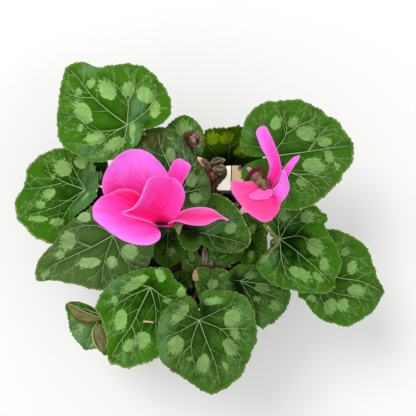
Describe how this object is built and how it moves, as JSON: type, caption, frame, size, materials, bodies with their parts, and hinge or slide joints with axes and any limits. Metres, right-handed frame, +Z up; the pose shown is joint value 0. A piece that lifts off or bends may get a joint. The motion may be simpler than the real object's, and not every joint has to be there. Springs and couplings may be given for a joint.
{
  "type": "potted cyclamen",
  "caption": "Compact cyclamen with silver-marbled heart-shaped leaves and swept-back pink blooms in a plain round nursery pot.",
  "frame": {"origin": "centre of the pot's base, on the surface the pot stands on", "axes": "+Z up through the pot, +X to the right and +Y to the top of the view from above"},
  "size_m": [0.2932, 0.2547, 0.2377],
  "materials": {
    "pot_plastic": "semi-matt moulded black plastic",
    "potting_mix": "dark damp peat mix with pale granules",
    "corm_skin": "dull cork-like brown skin",
    "leaf_green": "satin deep green with silver-green marbling and pale veins",
    "petal_pink": "soft satin pink, magenta at the throat",
    "stalk_red": "satin red-brown stalk with an olive calyx",
    "bud_olive": "satin olive-brown bud on a red-brown stalk",
    "label_plastic": "smooth cream plastic card, plain colour fields, no print"
  },
  "bodies": {
    "root": {"pot": "pot_plastic", "soil": "potting_mix", "corm": "corm_skin", "leaf_back_left": "leaf_green", "leaf_left": "leaf_green", "leaf_centre_back": "leaf_green", "leaf_left_low": "leaf_green", "leaf_back_small": "leaf_green", "leaf_back_curled": "leaf_green", "leaf_back_right": "leaf_green", "leaf_right": "leaf_green", "leaf_far_right": "leaf_green", "leaf_front_right": "leaf_green", "leaf_front": "leaf_green", "leaf_front_left": "leaf_green", "leaf_corner_curled": "leaf_green", "leaf_inner_left": "leaf_green", "leaf_centre": "leaf_green", "leaf_inner_small": "leaf_green", "leaf_inner_right": "leaf_green", "leaf_inner_front": "leaf_green", "leaf_inner_folded": "leaf_green", "leaf_under_front": "leaf_green", "leaf_under_left": "leaf_green", "flower_left_petals": "petal_pink", "flower_left_stalk": "stalk_red", "flower_right_petals": "petal_pink", "flower_right_stalk": "stalk_red", "bud_back": "bud_olive", "bud_slender": "bud_olive", "bud_olive": "bud_olive", "bud_nodding": "bud_olive", "bud_red": "bud_olive", "plant_label": "label_plastic"}
  },
  "joints": []
}
